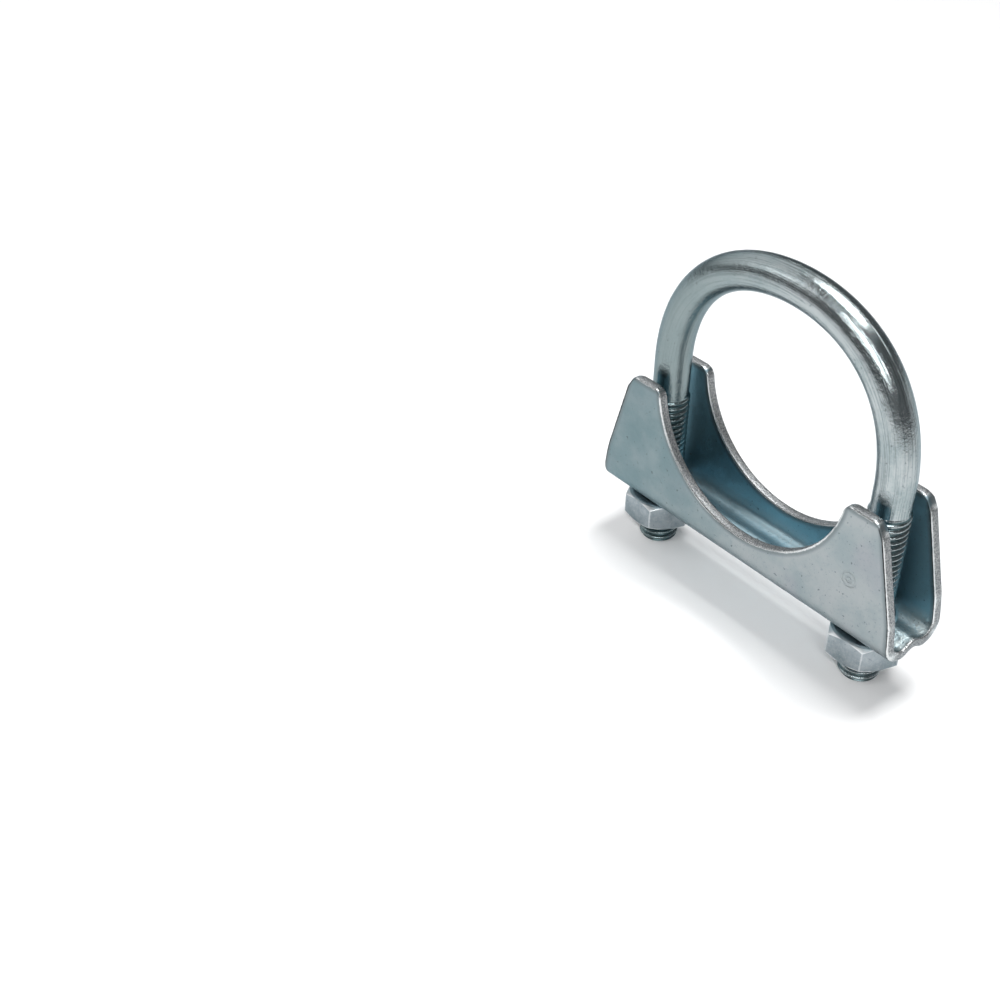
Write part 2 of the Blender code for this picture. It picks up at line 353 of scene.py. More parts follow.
# %% [markdown]
# ## The rod and its rolled threads
# A real U-bolt starts as drawn wire. The thread is rolled on first, so its crests stand a little
# proud of the plain rod, and then the wire is bent round a former. Here the rod is one sweep along
# the U, and the thread is a rule in the tree: each point of the skin looks up its height and its
# angle round the leg, and moves to the radius that a right-hand thread has there. The same tree with
# a little clearance makes the tap that cuts the nuts, so the two always mesh.

# %% Centreline of the U
ROWS_PER_PITCH = 12
BEND_STEPS = 96
ROD_SIDES = 72


def bend_radius(angle):
    """The former is a little fuller at the crown and at its two shoulders."""
    crown = CROWN_EXTRA * math.sin(angle) ** 2
    return LEG_X + crown + SHOULDER_EXTRA * math.sin(2 * angle) ** 2


def leg_heights(thread_length):
    """Close rows where there is thread, from the bolt end up."""
    count = math.ceil((thread_length + PITCH) / PITCH * ROWS_PER_PITCH)
    return [PITCH * row / ROWS_PER_PITCH for row in range(count + 1)]


def u_centreline():
    """Up the left leg, round the bend and down the right leg."""
    points = [Vector((-LEG_X, 0, z)) for z in leg_heights(LEFT_THREAD)]
    for step in range(BEND_STEPS + 1):
        angle = math.pi * (1 - step / BEND_STEPS)
        radius = bend_radius(angle)
        points.append(Vector((radius * math.cos(angle), 0, BEND_Z + radius * math.sin(angle))))
    points += [Vector((LEG_X, 0, z)) for z in reversed(leg_heights(RIGHT_THREAD))]
    return points


def path_object(name, points):
    """A poly curve through the points, for a tree to sweep along."""
    curve = bpy.data.curves.new(name, "CURVE")
    curve.dimensions = "3D"
    spline = curve.splines.new("POLY")
    spline.points.add(len(points) - 1)
    for place, point in zip(spline.points, points):
        place.co = (*point, 1.0)
    item = bpy.data.objects.new(name, curve)
    bpy.context.scene.collection.objects.link(item)
    return item


print("points along the U:", len(u_centreline()))

# %% The thread tree
CREST_PHASE = 0.075
CREST_FLAT = 0.12
ROOT_FLAT = 0.90
SHOULDER_PITCHES = 0.45
RUN_OUT_PITCHES = 3.5
RUN_OUT_DEPTH = 0.35


def thread_tree():
    """Sweep a round skin along a path, and roll a thread on it near the bolt ends."""
    names = ("Rod Radius", "Crest Radius", "Depth", "Pitch", "Left Length", "Right Length")
    graph, inputs = new_tree("rolled_thread", names + ("End Radius", "Clearance"))
    keep = graph.tree.nodes.new("GeometryNodeCaptureAttribute")
    keep.capture_items.new("VECTOR", "Centre")
    keep.capture_items.new("FLOAT", "Along")
    graph.feed(keep.inputs["Geometry"], inputs["Geometry"])
    graph.feed(keep.inputs["Centre"], graph.node("GeometryNodeInputPosition"))
    graph.feed(keep.inputs["Along"], graph.node("GeometryNodeSplineParameter", out=1))
    ring = graph.node(
        "GeometryNodeCurvePrimitiveCircle",
        inputs={"Resolution": ROD_SIDES, "Radius": inputs["Rod Radius"]},
    )
    skin = graph.node(
        "GeometryNodeCurveToMesh",
        inputs={
            "Curve": Wire(graph, keep.outputs["Geometry"]),
            "Profile Curve": ring,
            "Fill Caps": True,
        },
    )
    centre = Wire(graph, keep.outputs["Centre"])
    outward = graph.vector("SUBTRACT", graph.node("GeometryNodeInputPosition"), centre)
    across, along, _ = graph.split(outward)
    leg, _, height = graph.split(centre)
    middle = graph.node("ShaderNodeCombineXYZ", inputs={2: graph.math("MINIMUM", height, BEND_Z)})
    inward = graph.vector("NORMALIZE", graph.vector("SUBTRACT", middle, centre))
    turn = graph.math("ARCTAN2", along, across) / (2 * math.pi)
    phase = graph.math("FRACT", height / inputs["Pitch"] - turn + 0.5 - CREST_PHASE)
    from_crest = abs(phase - 0.5) * 2
    on_right = graph.math("GREATER_THAN", leg, 0.0)
    length = inputs["Left Length"] + on_right * (inputs["Right Length"] - inputs["Left Length"])
    rolled = graph.ramp(length - height, 0.0, inputs["Pitch"] * SHOULDER_PITCHES)
    run_out = inputs["Pitch"] * RUN_OUT_PITCHES
    depth = graph.ramp(length - height, 0.0, run_out, RUN_OUT_DEPTH, 1.0, "LINEAR")
    groove = graph.ramp(from_crest, CREST_FLAT, ROOT_FLAT)
    threaded = inputs["Crest Radius"] - inputs["Depth"] * groove * depth
    radius = inputs["Rod Radius"] + rolled * (threaded - inputs["Rod Radius"])
    radius = graph.math("MINIMUM", radius, inputs["End Radius"] + height) + inputs["Clearance"]
    push = graph.vector("SCALE", graph.vector("NORMALIZE", outward))
    graph.feed(push.socket.node.inputs["Scale"], radius)
    place = graph.vector("ADD", centre, push)
    formed = graph.node("GeometryNodeSetPosition", inputs={"Geometry": skin, "Position": place})
    towards_middle = graph.vector("DOT_PRODUCT", outward, inward, out=1)
    # The groove mark tells the finishes where to paint shade in the thread's roots.
    marks = {
        "groove": groove * rolled,
        "along": Wire(graph, keep.outputs["Along"]),
        "around": graph.math("ARCTAN2", along, towards_middle) / (2 * math.pi),
    }
    for name, value in marks.items():
        formed = graph.node(
            "GeometryNodeStoreNamedAttribute",
            {"data_type": "FLOAT", "domain": "POINT"},
            {"Geometry": formed, "Name": name, "Value": value},
        )
    smooth = graph.node("GeometryNodeSetShadeSmooth", inputs={"Geometry": formed})
    close_tree(graph, smooth, inputs["Material"])
    return graph.tree


THREAD_TREE = thread_tree()
THREAD_SIZES = {
    "Rod Radius": ROD_RADIUS,
    "Crest Radius": CREST_RADIUS,
    "Depth": THREAD_DEPTH,
    "Pitch": PITCH,
    "Left Length": LEFT_THREAD,
    "Right Length": RIGHT_THREAD,
    "End Radius": END_RADIUS,
    "Clearance": 0.0,
}
ROD_SIZES = {**THREAD_SIZES, "Material": ROD_FINISH}
rod = run_tree(path_object("u_path", u_centreline()), THREAD_TREE, ROD_SIZES, "bent_rod")
print("rod faces:", len(rod.data.polygons), "open edges:", open_edges(rod))

# %% [markdown]
# ## The pressed saddle
# The saddle is blanked from sheet, pierced and folded into a channel, with a stiffening rib down the
# web and a lip pushed up round each hole. A Boolean of two extrusions would give the shape, but
# leaves big uneven faces that show in a shiny finish. So the sheet is laid out here as one regular
# net of quads: its columns run from the web to the flange's edge, and its rows follow the fold.

# %% Flange outline
KINK = (36.2 * MM, 8.5 * MM)
TIP_OUTER_X = 30.8 * MM
TIP_OUTER_ROUND = 3.5 * MM
TIP_INNER_ROUND = 2.3 * MM
TIP_INNER_START = 2.5 * MM
SEAT_STEPS = 64
FILLET_STEPS = 8
SEAT_RISE = BEND_Z - WEB_Z
FLANGE_RISE = TIP_Z - WEB_Z


def fillet(before, corner, after, radius):
    """Arc that rounds the corner of a polyline."""
    point = Vector(corner)
    back = (Vector(before) - point).normalized()
    onward = (Vector(after) - point).normalized()
    half = back.angle(onward) / 2
    centre = point + (back + onward).normalized() * (radius / math.sin(half))
    start = point + back * (radius / math.tan(half)) - centre
    end = point + onward * (radius / math.tan(half)) - centre
    steps = range(FILLET_STEPS + 1)
    return [centre + start.slerp(end, step / FILLET_STEPS) * radius for step in steps]


def upper_edge():
    """Seat and tip of half a flange, from the middle of the seat to the outer tip's round."""
    last = math.asin((FLANGE_RISE - TIP_INNER_START - SEAT_RISE) / SEAT_RADIUS)
    points = []
    for step in range(SEAT_STEPS + 1):
        angle = -math.pi / 2 + (last + math.pi / 2) * step / SEAT_STEPS
        place = (SEAT_RADIUS * math.cos(angle), SEAT_RISE + SEAT_RADIUS * math.sin(angle))
        points.append(Vector(place))
    inner = (math.sqrt(SEAT_RADIUS**2 - (FLANGE_RISE - SEAT_RISE) ** 2), FLANGE_RISE)
    outer = (TIP_OUTER_X, FLANGE_RISE)
    points += fillet(points[-1], inner, outer, TIP_INNER_ROUND)
    rounded = fillet(inner, outer, KINK, TIP_OUTER_ROUND)
    half = FILLET_STEPS // 2
    return points + rounded[: half + 1], rounded[half:]


def end_edge(tip_round):
    """End of half a flange, from the fold up to the outer tip's round."""
    foot = Vector((HALF_LENGTH, SHEET))
    kink = Vector(KINK)
    rise = (CORNER_RADIUS - foot.y) / (kink.y - foot.y)
    return [foot.lerp(kink, rise), kink] + list(reversed(tip_round))


def walk(points, share):
    """The point at a share of a polyline's length."""
    lengths = [(b - a).length for a, b in zip(points, points[1:])]
    left = share * sum(lengths)
    for start, end, length in zip(points, points[1:], lengths):
        if left <= length:
            return start.lerp(end, left / length)
        left -= length
    return points[-1]


print("flange height above the web's underside:", round(FLANGE_RISE / MM, 2), "mm")

# %% [markdown]
# ## Finish of the saddle
# Plated sheet is satin, because the rolled surface is finely rough. The film is bluer inside the
# channel, where nothing rubbed it, and has a darker stain towards one end. The sheared edges are
# greyer. Just inside each cut edge a dark band is painted as the dark reflection of the turned-over
# edge, with a bright painted highlight line on the edge itself, and the inner web near the ends
# has pale painted sparkle.

# %% Saddle finish
def cut_distance(graph, x, z):
    """How far a point of the flange is from the nearest cut edge."""
    rise = z - BEND_Z
    seat = graph.math("SQRT", x * x + rise * rise) - SEAT_RADIUS
    taper = (TIP_OUTER_X - KINK[0]) / (FLANGE_RISE - KINK[1])
    end = KINK[0] + (z - (WEB_Z + KINK[1])) * taper - abs(x)
    lower_taper = (HALF_LENGTH - KINK[0]) / (KINK[1] - SHEET)
    lower_end = HALF_LENGTH - (z - (WEB_Z + SHEET)) * lower_taper - abs(x)
    ends = graph.math("MINIMUM", graph.math("MINIMUM", end, lower_end), HALF_LENGTH - abs(x))
    return graph.math("MINIMUM", graph.math("MINIMUM", seat, ends), TIP_Z - z)


SHEET_PALE = (0.375, 0.405, 0.415, 1)
SHEET_DEEP = (0.30, 0.355, 0.37, 1)
SHEET_VIOLET = (0.36, 0.365, 0.395, 1)
SHEET_STAIN = (0.175, 0.250, 0.268, 1)
CHANNEL_BLUE = (0.22, 0.40, 0.485, 1)
# Painted sparkle on the inner web.
WEB_SPARKLE = (0.58, 0.63, 0.62, 1)
SHEET_GRAIN = (0.20, 0.25, 0.27, 1)
SHEET_SPECK = (0.10, 0.13, 0.14, 1)
# Painted dark reflection along the turned-over cut edges.
EDGE_DARK_REFLECTION = (0.17, 0.20, 0.21, 1)
# Painted highlight on the cut edges.
EDGE_HIGHLIGHT = (0.74, 0.76, 0.76, 1)
SHEARED_DARK = (0.19, 0.20, 0.21, 1)
SHEARED_PALE = (0.52, 0.53, 0.53, 1)
SHEET_RELIEF = 0.04 * MM


def saddle_finish():
    """Satin plated sheet: blue inside the channel, a painted dark band and a painted highlight along
    every cut edge.
    """
    material, graph, shader = metal("satin_zinc_sheet")
    place = object_place(graph)
    x, y, z = graph.split(place)
    cloud = noise(graph, place, 110.0, 5.0, 0.6)
    broad = noise(graph, place, 34.0, 3.0)
    grain = noise(graph, place, 1700.0, 3.0, 0.7)
    grit = noise(graph, place, 3600.0, 2.0, 0.7)
    dents = noise(graph, place, 420.0, 3.0)
    speck = graph.ramp(noise(graph, place, 1100.0, 2.0), 0.66, 0.73)
    edge = cut_distance(graph, x, z)
    ragged = edge + (cloud - 0.5) * 0.0005 + (grain - 0.5) * 0.0004
    cut = graph.ramp(edge, 0.00004, 0.00016, 1.0, 0.0)
    # Painted dark reflection: a dark band just inside each cut edge, where the turned-over edge faces
    # the dark room.
    dark_reflection_band = graph.ramp(ragged, 0.0006, 0.0014, 1.0, 0.0)
    # Painted highlight: a thin bright line on each cut edge, which is also made glossier.
    rim_highlight = graph.ramp(edge + (grit - 0.5) * 0.0002, 0.0, 0.00016)
    rim_highlight = rim_highlight * graph.ramp(ragged, 0.0002, 0.0005, 1.0, 0.0)
    inside = graph.ramp(abs(y), HALF_WIDTH - SHEET * 0.75, HALF_WIDTH - SHEET / 2, 1.0, 0.0)
    low = graph.ramp(z, WEB_Z + SHEET, WEB_Z + SHEET * 3, 1.0, 0.0)
    ends = graph.ramp(abs(x), HALF_LENGTH * 0.72, HALF_LENGTH, 0.0, 1.0)
    darker_left = graph.ramp(broad * 0.022 - x * 0.5, 0.006, 0.024)
    fine = graph.ramp(cloud, 0.33, 0.66)
    violet = graph.ramp(noise(graph, place, 60.0, 2.0), 0.50, 0.66, 0.0, 0.55)
    tint = graph.blend(fine, SHEET_PALE, SHEET_DEEP)
    tint = graph.blend(violet, tint, SHEET_VIOLET)
    tint = graph.blend(darker_left * (0.70 + fine * 0.30), tint, SHEET_STAIN)
    tint = graph.blend(inside * 0.9, tint, CHANNEL_BLUE)
    # Painted sparkle: pale grain on the inner web, stronger towards the ends.
    tint = graph.blend(inside * low * (0.45 + ends * 0.55) * grain * 1.6, tint, WEB_SPARKLE)
    tint = graph.blend(graph.ramp(grain, 0.56, 0.78, 0.0, 0.55), tint, SHEET_GRAIN)
    tint = graph.blend(speck * 0.7, tint, SHEET_SPECK)
    tint = graph.blend(dark_reflection_band * 0.7, tint, EDGE_DARK_REFLECTION)
    tint = graph.blend(rim_highlight * 0.9, tint, EDGE_HIGHLIGHT)
    sheared = graph.blend(graph.ramp(grit, 0.36, 0.68), SHEARED_DARK, SHEARED_PALE)
    tint = graph.blend(cut, tint, sheared)
    graph.feed(shader.inputs["Base Color"], tint)
    graph.feed(shader.inputs["Roughness"], 0.28 + cloud * 0.16 + grain * 0.14 - rim_highlight * 0.18)
    worn = inside * low * ends
    relief = grain * (0.8 + worn * 3.0) + dents * 1.2 + cloud * 2.0 + cut * (grit * 2.0 + grain)
    graph.feed(shader.inputs["Normal"], bump(graph, relief, SHEET_RELIEF))
    return material


SHEET_FINISH = saddle_finish()
print("nodes in the saddle's finish:", len(SHEET_FINISH.node_tree.nodes))

# %% Net of quads
COLUMNS = 120
FLANGE_ROWS = 9
FOLD_ROWS = 10
WEB_ROWS = 24
EDGE_ROUND = 0.45 * MM
EDGE_SEGMENTS = 4
TOP_EDGE, TIP_ROUND = upper_edge()
END_EDGE = end_edge(TIP_ROUND)


def flange_point(across, up):
    """Place on half a flange: across from the middle to the end, up from the fold to the edge."""
    foot = Vector((END_EDGE[0].x * across, CORNER_RADIUS))
    head = walk(TOP_EDGE, across)
    middle = Vector((0, CORNER_RADIUS)).lerp(TOP_EDGE[0], up)
    end = walk(END_EDGE, up)
    lower = Vector((0, CORNER_RADIUS)).lerp(END_EDGE[0], across)
    upper = TOP_EDGE[0].lerp(TOP_EDGE[-1], across)
    return foot.lerp(head, up) + middle.lerp(end, across) - lower.lerp(upper, up)


def rib_lift(y):
    """Height of the stiffening rib at a distance from the web's middle."""
    return RIB_HEIGHT * (1 + math.cos(math.pi * min(abs(y) / RIB_HALF_WIDTH, 1))) / 2


def section_rows():
    """The fold seen from the end, front edge to back edge: (kind, value) for each row."""
    rows = [("front", 1 - row / FLANGE_ROWS) for row in range(FLANGE_ROWS)]
    rows += [("front_fold", row / FOLD_ROWS) for row in range(FOLD_ROWS)]
    rows += [("web", 2 * row / WEB_ROWS - 1) for row in range(WEB_ROWS + 1)]
    rows += [("back_fold", 1 - row / FOLD_ROWS) for row in range(1, FOLD_ROWS)]
    rows += [("back", row / FLANGE_ROWS) for row in range(FLANGE_ROWS + 1)]
    return rows


def net_point(kind, value, across, inset):
    """Place of a net point on the sheet's outer face, or on its inner face at one sheet inset."""
    side = 1 if across >= 0 else -1
    reach = abs(across)
    flat = HALF_WIDTH - CORNER_RADIUS
    if kind in ("front", "back"):
        x, rise = flange_point(reach, value)
        y = HALF_WIDTH - inset
        return Vector((side * x, y if kind == "back" else -y, WEB_Z + rise))
    if kind == "web":
        y = flat * value
        return Vector((side * HALF_LENGTH * reach, y, WEB_Z + inset + rib_lift(y)))
    angle = math.pi / 2 * value
    radius = CORNER_RADIUS - inset
    y = flat + radius * math.cos(angle)
    x = END_EDGE[0].x + (HALF_LENGTH - END_EDGE[0].x) * value
    z = WEB_Z + CORNER_RADIUS - radius * math.sin(angle)
    return Vector((side * x * reach, y if kind == "back_fold" else -y, z))


def sheet_net():
    """Both faces of the sheet and the rim that joins them, its edges marked for rounding."""
    bm = bmesh.new()
    mark = bm.edges.layers.float.new("bevel_weight_edge")
    rows = section_rows()
    spans = [column / COLUMNS for column in range(-COLUMNS, COLUMNS + 1)]
    faces = []
    for inset in (0.0, SHEET):
        faces.append([[bm.verts.new(net_point(*row, span, inset)) for span in spans] for row in rows])
    for net in faces:
        for low, high in zip(net, net[1:]):
            for i in range(len(spans) - 1):
                bm.faces.new((low[i], low[i + 1], high[i + 1], high[i]))
    rims = []
    for net in faces:
        left = [row[0] for row in net]
        right = [row[-1] for row in net]
        rims.append(net[0] + right[1:] + list(reversed(net[-1]))[1:] + list(reversed(left))[1:-1])
    around = len(rims[0])
    for i in range(around):
        after = (i + 1) % around
        bm.faces.new((rims[0][i], rims[1][i], rims[1][after], rims[0][after]))
        for rim in rims:
            bm.edges.get((rim[i], rim[after]))[mark] = 1.0
    return bm


print("columns:", 2 * COLUMNS, "rows:", len(section_rows()) - 1)

# %% Holes and lips
WELD_DISTANCE = 0.0002 * MM


def lathe(profile, x, sides=96):
    """Turn a (radius, height) outline about an upright axis on one leg."""
    bm = bmesh.new()
    rings = []
    for radius, height in profile:
        ring = []
        for side in range(sides):
            angle = 2 * math.pi * side / sides
            place = (x + radius * math.cos(angle), radius * math.sin(angle), height)
            ring.append(bm.verts.new(place))
        rings.append(ring)
    for low, high in zip(rings, rings[1:]):
        for i in range(sides):
            bm.faces.new((low[i], low[(i + 1) % sides], high[(i + 1) % sides], high[i]))
    bm.faces.new(list(reversed(rings[0])))
    bm.faces.new(rings[-1])
    return bm


def quarter(centre_r, centre_z, radius, start, steps=8):
    """Quarter circle in a lathe profile, turning anticlockwise from a start angle."""
    angles = [start + math.pi / 2 * step / steps for step in range(steps + 1)]
    return [(centre_r + radius * math.cos(a), centre_z + radius * math.sin(a)) for a in angles]


def weld(item):
    """Merge points that lie on top of each other, which would spoil the next cut."""
    bm = bmesh.new()
    bm.from_mesh(item.data)
    bmesh.ops.remove_doubles(bm, verts=bm.verts, dist=WELD_DISTANCE)
    bm.to_mesh(item.data)
    bm.free()


def boolean(item, cutter, operation):
    """Join or cut with another object, which is used up."""
    modifier = item.modifiers.new(operation, "BOOLEAN")
    modifier.operation = operation
    modifier.solver = "EXACT"
    modifier.object = cutter
    result = bake(item, item.name)
    weld(result)
    bpy.data.objects.remove(cutter, do_unlink=True)
    return result


LIP_ROUND = 0.6 * MM
LIP_ROOT = 0.5 * MM
REACH = 3.0 * MM
STAMP_PLACE = (26.2 * MM, 25.0 * MM)
STAMP_RADII = (1.5 * MM, 0.6 * MM)
STAMP_LINE = 0.22 * MM
STAMP_DEPTH = 0.10 * MM


def lip_profile():
    """Lip that piercing pushes up: flared into the web below, rounded above."""
    web = WEB_Z + SHEET
    top = web + COLLAR_HEIGHT
    root = [(COLLAR_RADIUS, web - SHEET / 4)]
    return root + quarter(COLLAR_RADIUS - LIP_ROUND, top - LIP_ROUND, LIP_ROUND, 0.0)


def hole_profile():
    """Clearance hole with a rolled-in mouth on the punch's side."""
    low = WEB_Z - REACH
    return [
        (HOLE_RADIUS + LIP_ROOT, low),
        (HOLE_RADIUS + LIP_ROOT, WEB_Z - LIP_ROOT / 4),
        (HOLE_RADIUS, WEB_Z + LIP_ROOT),
        (HOLE_RADIUS, WEB_Z + SHEET + COLLAR_HEIGHT - LIP_ROUND / 2),
        (HOLE_RADIUS + LIP_ROUND / 3, WEB_Z + SHEET + COLLAR_HEIGHT),
        (HOLE_RADIUS + LIP_ROUND / 3, WEB_Z + SHEET + COLLAR_HEIGHT + REACH),
    ]


def add_ring(bm, radius, sides=60, section=12):
    """A ring that dips into the front flange by the stamp's depth, to press a round groove."""
    x, z = STAMP_PLACE
    face = STAMP_DEPTH - STAMP_LINE - HALF_WIDTH
    rings = []
    for side in range(sides):
        angle = 2 * math.pi * side / sides
        ring = []
        for step in range(section):
            bend = 2 * math.pi * (step + 0.5) / section
            reach = radius + STAMP_LINE * math.cos(bend)
            height = face + STAMP_LINE * math.sin(bend)
            place = (x + reach * math.cos(angle), height, z + reach * math.sin(angle))
            ring.append(bm.verts.new(place))
        rings.append(ring)
    for side in range(sides):
        here, there = rings[side], rings[(side + 1) % sides]
        for step in range(section):
            after = (step + 1) % section
            bm.faces.new((here[step], here[after], there[after], there[step]))


def stamp():
    """The plain round mark: a ring inside a ring."""
    bm = bmesh.new()
    for radius in STAMP_RADII:
        add_ring(bm, radius)
    return bm


def make_saddle():
    """Round the rim of the net and stamp the mark, then raise the lips and pierce the holes."""
    item = add_mesh_object("pressed_saddle", sheet_net(), SHEET_FINISH)
    bevel = item.modifiers.new("rim", "BEVEL")
    bevel.limit_method = "WEIGHT"
    bevel.width = EDGE_ROUND
    bevel.segments = EDGE_SEGMENTS
    bevel.use_clamp_overlap = False
    item = bake(item, item.name)
    item = boolean(item, add_mesh_object("stamp", stamp()), "DIFFERENCE")
    for x in (-LEG_X, LEG_X):
        item = boolean(item, add_mesh_object("lip", lathe(lip_profile(), x)), "UNION")
        item = boolean(item, add_mesh_object("hole", lathe(hole_profile(), x)), "DIFFERENCE")
    item.data.shade_smooth()
    item.data.set_sharp_from_angle(angle=math.radians(35))
    return item


saddle = make_saddle()
print("saddle faces:", len(saddle.data.polygons), "open edges:", open_edges(saddle))

# %% [markdown]
# ## Finish of the nuts
# Barrel plating knocks the nuts against each other, so their flats are mottled. Their corners and
# the edges of their rims get painted highlights, with some wear, and the thread in the bore gets
# painted shade. The flats stay fairly glossy between the marks.

# %% Nut finish
FACE_SHARE = 0.95
CHAMFER = math.tan(math.radians(30))
NUT_PALE = (0.33, 0.37, 0.395, 1)
NUT_DEEP = (0.215, 0.26, 0.28, 1)
NUT_GRAIN = (0.48, 0.50, 0.51, 1)
NUT_SPECK = (0.11, 0.13, 0.14, 1)
# Painted highlights, with some wear, on the corners and rims.
NUT_HIGHLIGHT_AND_WEAR = (0.74, 0.76, 0.77, 1)
# Painted shade in the thread of the bore.
NUT_GROOVE_SHADE = (0.10, 0.15, 0.17, 1)
NUT_RELIEF = 0.04 * MM


def nut_finish(name, low, top):
    """Plated nut: mottled flats, dark specks, painted highlights with some wear on corners and rims,
    and painted shade in the thread.
    """
    material, graph, shader = metal(name)
    place = object_place(graph)
    x, y, z = graph.split(place)
    off_axis = abs(x) - LEG_X
    radius = graph.math("SQRT", off_axis * off_axis + y * y)
    cloud = noise(graph, place, 240.0, 4.0, 0.65)
    dents = noise(graph, place, 620.0, 3.0)
    grain = noise(graph, place, 2300.0, 3.0, 0.7)
    speck = graph.ramp(noise(graph, place, 1300.0, 2.0), 0.66, 0.74)
    groove = graph.node("ShaderNodeAttribute", {"attribute_name": "groove"}, out=2)
    corner = ACROSS_FLATS / math.sqrt(3)
    ragged = (grain - 0.5) * 0.0002
    corners = graph.ramp(radius + ragged, corner - 0.00012, corner - 0.00006, 0.0, 0.45)
    turned = (radius - ACROSS_FLATS / 2 * FACE_SHARE) * CHAMFER
    to_rim = graph.math("MINIMUM", abs(top - turned - z), abs(z - turned - low))
    rims = graph.ramp(to_rim + ragged, 0.00006, 0.00022, 1.0, 0.0)
    past_flats = graph.ramp(radius, ACROSS_FLATS / 2, ACROSS_FLATS / 2 + 0.0002)
    # Pale corners and rims: painted highlights, with some wear.
    highlight_and_wear = graph.math("MAXIMUM", corners, rims * past_flats)
    tint = graph.blend(graph.ramp(cloud, 0.35, 0.68), NUT_PALE, NUT_DEEP)
    tint = graph.blend(graph.ramp(grain, 0.50, 0.75, 0.0, 0.5), tint, NUT_GRAIN)
    tint = graph.blend(speck * 0.6, tint, NUT_SPECK)
    tint = graph.blend(highlight_and_wear * 0.9, tint, NUT_HIGHLIGHT_AND_WEAR)
    # Painted shade: the thread in the bore is painted darker, from the tap's groove mark.
    tint = graph.blend(groove * 0.8, tint, NUT_GROOVE_SHADE)
    graph.feed(shader.inputs["Base Color"], tint)
    graph.feed(shader.inputs["Roughness"], 0.22 + cloud * 0.16 + grain * 0.12)
    relief = grain * 0.6 + dents * 1.2 + cloud * 1.5
    graph.feed(shader.inputs["Normal"], bump(graph, relief, NUT_RELIEF))
    return material


# %% [markdown]
# ## The nuts
# A nut is cold-formed from bar: a hexagon whose corners are turned off at 30 degrees on both faces,
# which leaves the curved edges seen on every real nut, and then it is tapped. The same three steps
# are done here, and the tap is the thread tree with some clearance.

# %% Cut a nut
NUT_SIDES = 6
TAP_CLEARANCE = 0.09 * MM
NUT_EDGE = 0.10 * MM


def nut_profile(low, high):
    """What the lathe leaves of the bar's corners."""
    face = ACROSS_FLATS / 2 * FACE_SHARE
    widest = ACROSS_FLATS * 0.6
    drop = (widest - face) * CHAMFER
    return [(face, low), (widest, low + drop), (widest, high - drop), (face, high)]


def hexagon(x, turn, low, high):
    """Hexagonal bar with a corner at the given turn from +X."""
    bm = bmesh.new()
    radius = ACROSS_FLATS / math.sqrt(3)
    rings = []
    for z in (low, high):
        ring = []
        for corner in range(NUT_SIDES):
            angle = turn + math.pi / 3 * corner
            ring.append(bm.verts.new((x + radius * math.cos(angle), radius * math.sin(angle), z)))
        rings.append(ring)
    bottom, top = rings
    for i in range(NUT_SIDES):
        after = (i + 1) % NUT_SIDES
        bm.faces.new((bottom[i], bottom[after], top[after], top[i]))
    bm.faces.new(list(reversed(bottom)))
    bm.faces.new(top)
    return bm


def tap(x, low, high, finish):
    """A threaded bar with clearance, in step with the leg's own thread."""
    rows = math.ceil((high - low) / PITCH * ROWS_PER_PITCH)
    points = [Vector((x, 0, low + (high - low) * row / rows)) for row in range(rows + 1)]
    endless = {"Left Length": 1.0, "Right Length": 1.0, "End Radius": 1.0}
    sizes = {**THREAD_SIZES, **endless, "Clearance": TAP_CLEARANCE, "Material": finish}
    return run_tree(path_object("tap_path", points), THREAD_TREE, sizes, "tap")


def countersink(x, face, outward):
    """A wide cone that opens the thread at one face."""
    mouth = CREST_RADIUS + 0.35 * MM
    depth = 1.1 * MM
    spread = 1.0 * MM
    inner = (mouth - depth, face - outward * depth)
    outer = (mouth + spread, face + outward * spread)
    profile = [inner, outer] if outward > 0 else [outer, inner]
    return lathe(profile, x)


def make_nut(node, x, turn):
    """Turn, tap and countersink one nut where its solid is."""
    low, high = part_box(node)
    finish = nut_finish(node + "_zinc", low.z, high.z)
    item = add_mesh_object("hexagon_" + node, hexagon(x, turn, low.z, high.z), finish)
    item = boolean(item, add_mesh_object("lathe", lathe(nut_profile(low.z, high.z), x)), "INTERSECT")
    bevel = item.modifiers.new("edges", "BEVEL")
    bevel.limit_method = "ANGLE"
    bevel.angle_limit = math.radians(20)
    bevel.width = NUT_EDGE
    bevel.segments = 3
    item = bake(item, item.name)
    item = boolean(item, tap(x, low.z - PITCH, high.z + PITCH, finish), "DIFFERENCE")
    item = boolean(item, add_mesh_object("sink", countersink(x, low.z, -1)), "DIFFERENCE")
    item = boolean(item, add_mesh_object("sink", countersink(x, high.z, 1)), "DIFFERENCE")
    item.data.shade_smooth()
    item.data.set_sharp_from_angle(angle=math.radians(30))
    return item


LEFT_TURN = math.radians(-2.5)
RIGHT_TURN = math.radians(4.1)
nuts = {
    "nut_left": make_nut("nut_left", -LEG_X, LEFT_TURN),
    "nut_right": make_nut("nut_right", LEG_X, RIGHT_TURN),
}
for nut in nuts.values():
    print(nut.name, "faces:", len(nut.data.polygons), "open edges:", open_edges(nut))

# %% [markdown]
# ## Floor, light and camera
# Plated metal shows its surroundings more than itself. A pale sweep and large soft lamps give it
# broad white bands, and the darker room between them gives the contrast.

# %% Studio
LAMP_TARGET = Vector((0, 0, 0.03))
STRIP_ROLL = -28.0
ROOM_BRIGHTNESS = 0.165
ROOM_TINT = (0.95, 0.97, 1.0, 1)
FLOOR_TINT = (0.93, 0.93, 0.93, 1)
CAMERA_TARGET = Vector((-0.0561, -0.0191, 0.0))
CAMERA_AZIMUTH = 50.96
CAMERA_ELEVATION = 36.33
CAMERA_ROLL = 0.479
CAMERA_DISTANCE = 0.3169
CAMERA_LENS = 52.94
